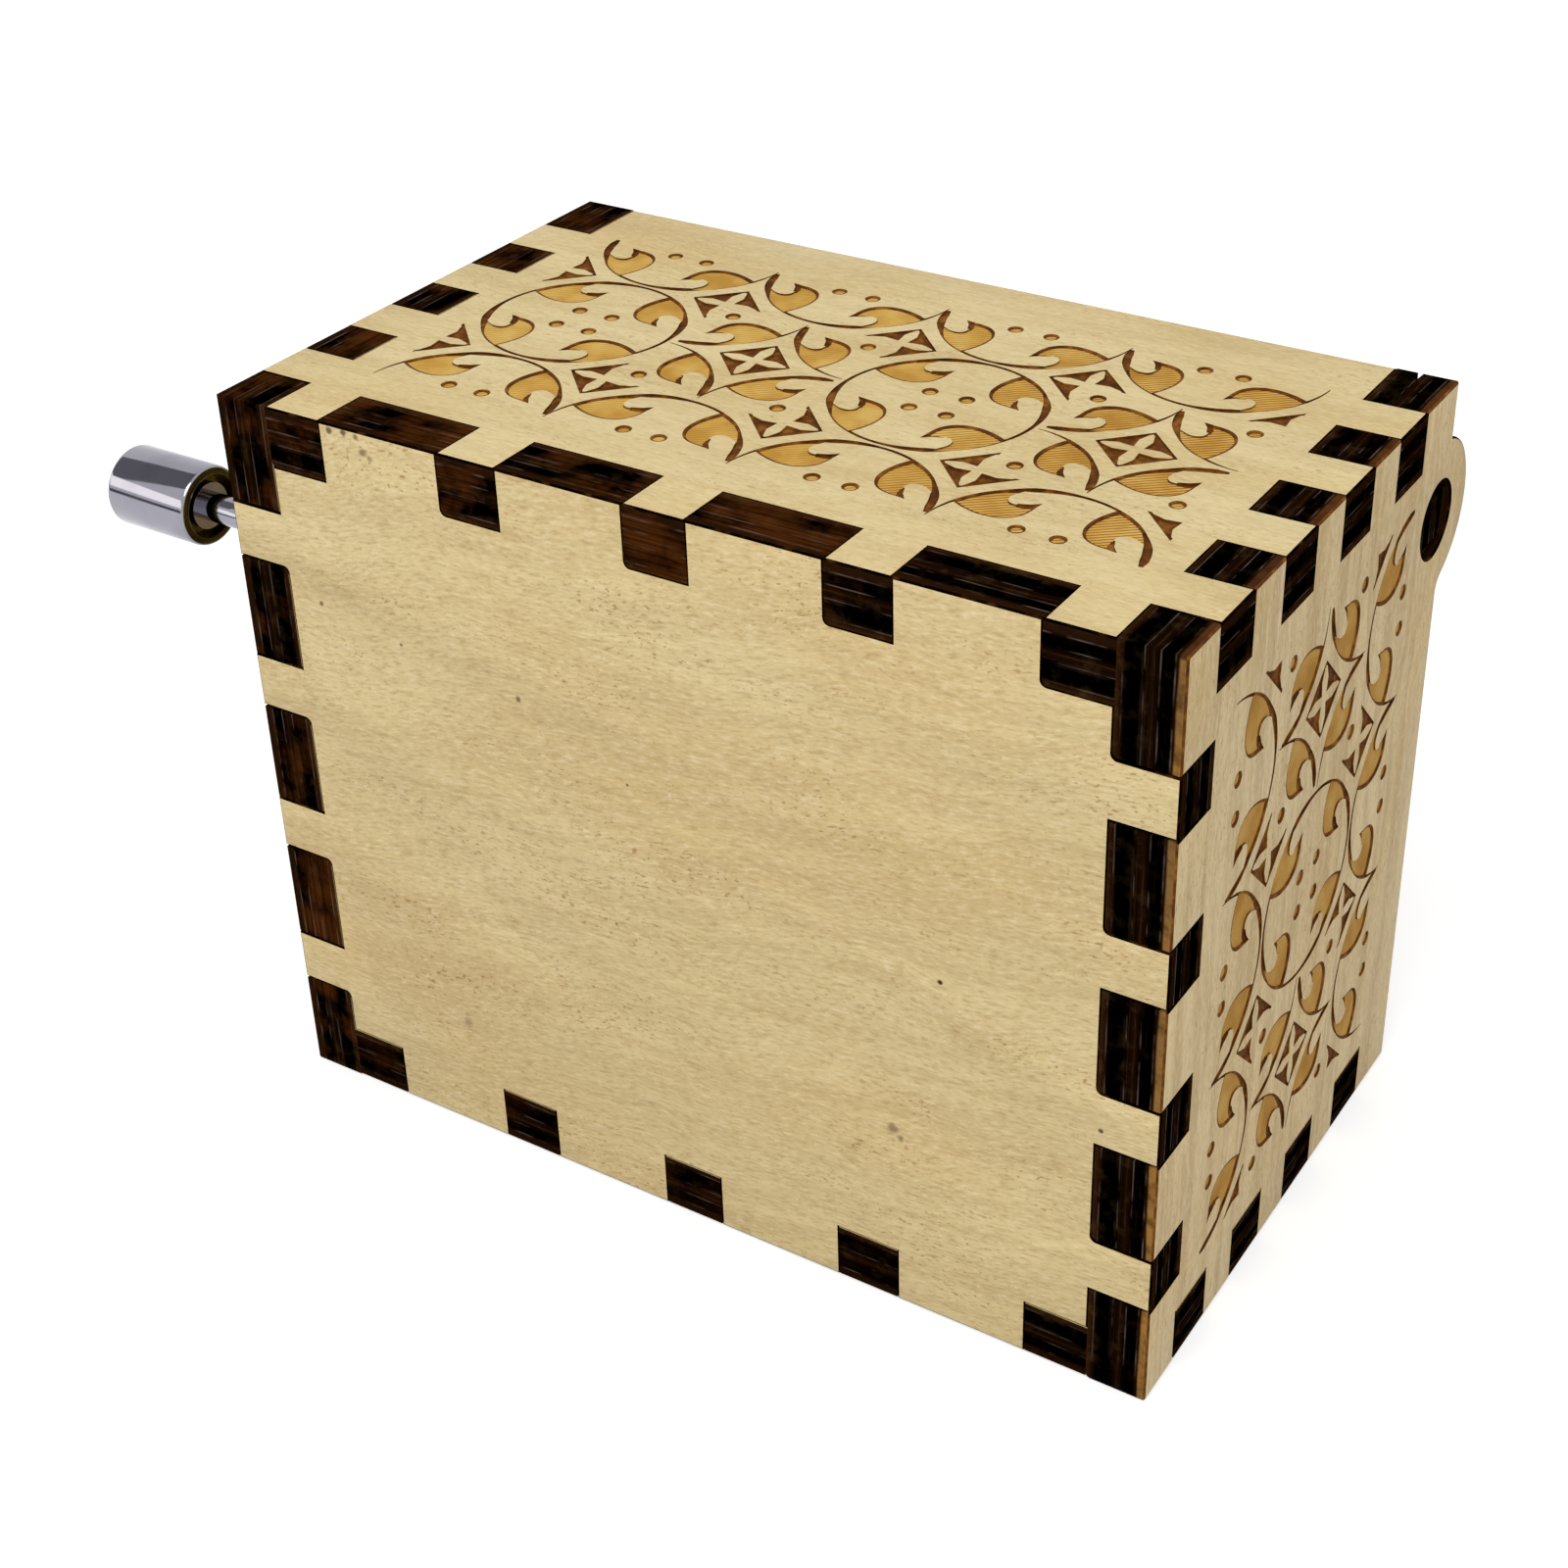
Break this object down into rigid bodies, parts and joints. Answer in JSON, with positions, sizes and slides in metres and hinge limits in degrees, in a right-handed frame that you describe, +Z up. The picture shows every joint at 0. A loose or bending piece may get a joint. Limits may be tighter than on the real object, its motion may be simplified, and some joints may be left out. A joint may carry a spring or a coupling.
{
  "type": "hand cranked comb music box",
  "caption": "Small finger-jointed plywood case with a hinged lid, engraved walls and a bent crank on one side that turns a pinned drum against a steel comb.",
  "frame": {"origin": "middle of the case on the face that it stands on, the outer face of its front wall", "axes": "+X along the case towards the wall opposite the crank, +Y from the plain bottom panel to the lid, +Z up from the front wall to the hinged back wall"},
  "size_m": [0.0808, 0.0414, 0.0506],
  "materials": {
    "plywood": "bare birch faces, laser-burnt edges",
    "bedplate_brass": "satin",
    "comb_steel": "ground",
    "weight_metal": "dull",
    "screw_steel": "bright",
    "drum_brass": "satin",
    "pin_steel": "bright",
    "wheel_brass": "cut",
    "shaft_steel": "turned",
    "rod_plate": "polished",
    "knob_chrome": "polished"
  },
  "bodies": {
    "case": {"bottom_panel": "plywood", "front_wall": "plywood", "back_wall": "plywood", "left_wall": "plywood", "right_wall": "plywood", "bedplate": "bedplate_brass", "mounting_screws": "screw_steel", "comb": "comb_steel", "tuning_weights": "weight_metal", "comb_screws": "screw_steel", "arbor_bracket": "bedplate_brass", "bracket_screws": "screw_steel", "worm_bridge": "bedplate_brass", "bridge_screws": "screw_steel"},
    "lid": {"lid_panel": "plywood"},
    "crank": {"worm_shaft": "shaft_steel", "crank_rod": "rod_plate"},
    "knob": {"crank_knob": "knob_chrome"},
    "drum_set": {"drum": "drum_brass", "drum_heads": "drum_brass", "drum_pins": "pin_steel", "drum_arbor": "pin_steel", "worm_wheel": "wheel_brass"}
  },
  "joints": [
    {"name": "lid_hinge", "type": "hinge", "parent": "case", "child": "lid", "pos_m": [0, 0.0174, 0.04205], "axis": [1, 0, 0], "range_deg": [0, 135]},
    {"name": "crank_turn", "type": "hinge", "parent": "case", "child": "crank", "pos_m": [-0.012, 0.0026, 0.03735], "axis": [1, 0, 0], "continuous": true},
    {"name": "drum_turn", "type": "hinge", "parent": "case", "child": "drum_set", "pos_m": [-0.012, -0.0053, 0.0247], "axis": [0, 0, 1], "continuous": true},
    {"name": "knob_spin", "type": "hinge", "parent": "crank", "child": "knob", "pos_m": [-0.04535, -0.0114, 0.03735], "axis": [1, 0, 0], "continuous": true}
  ],
  "couplings": [
    {"joint": "drum_turn", "follows": "crank_turn", "ratio": 0.05}
  ]
}
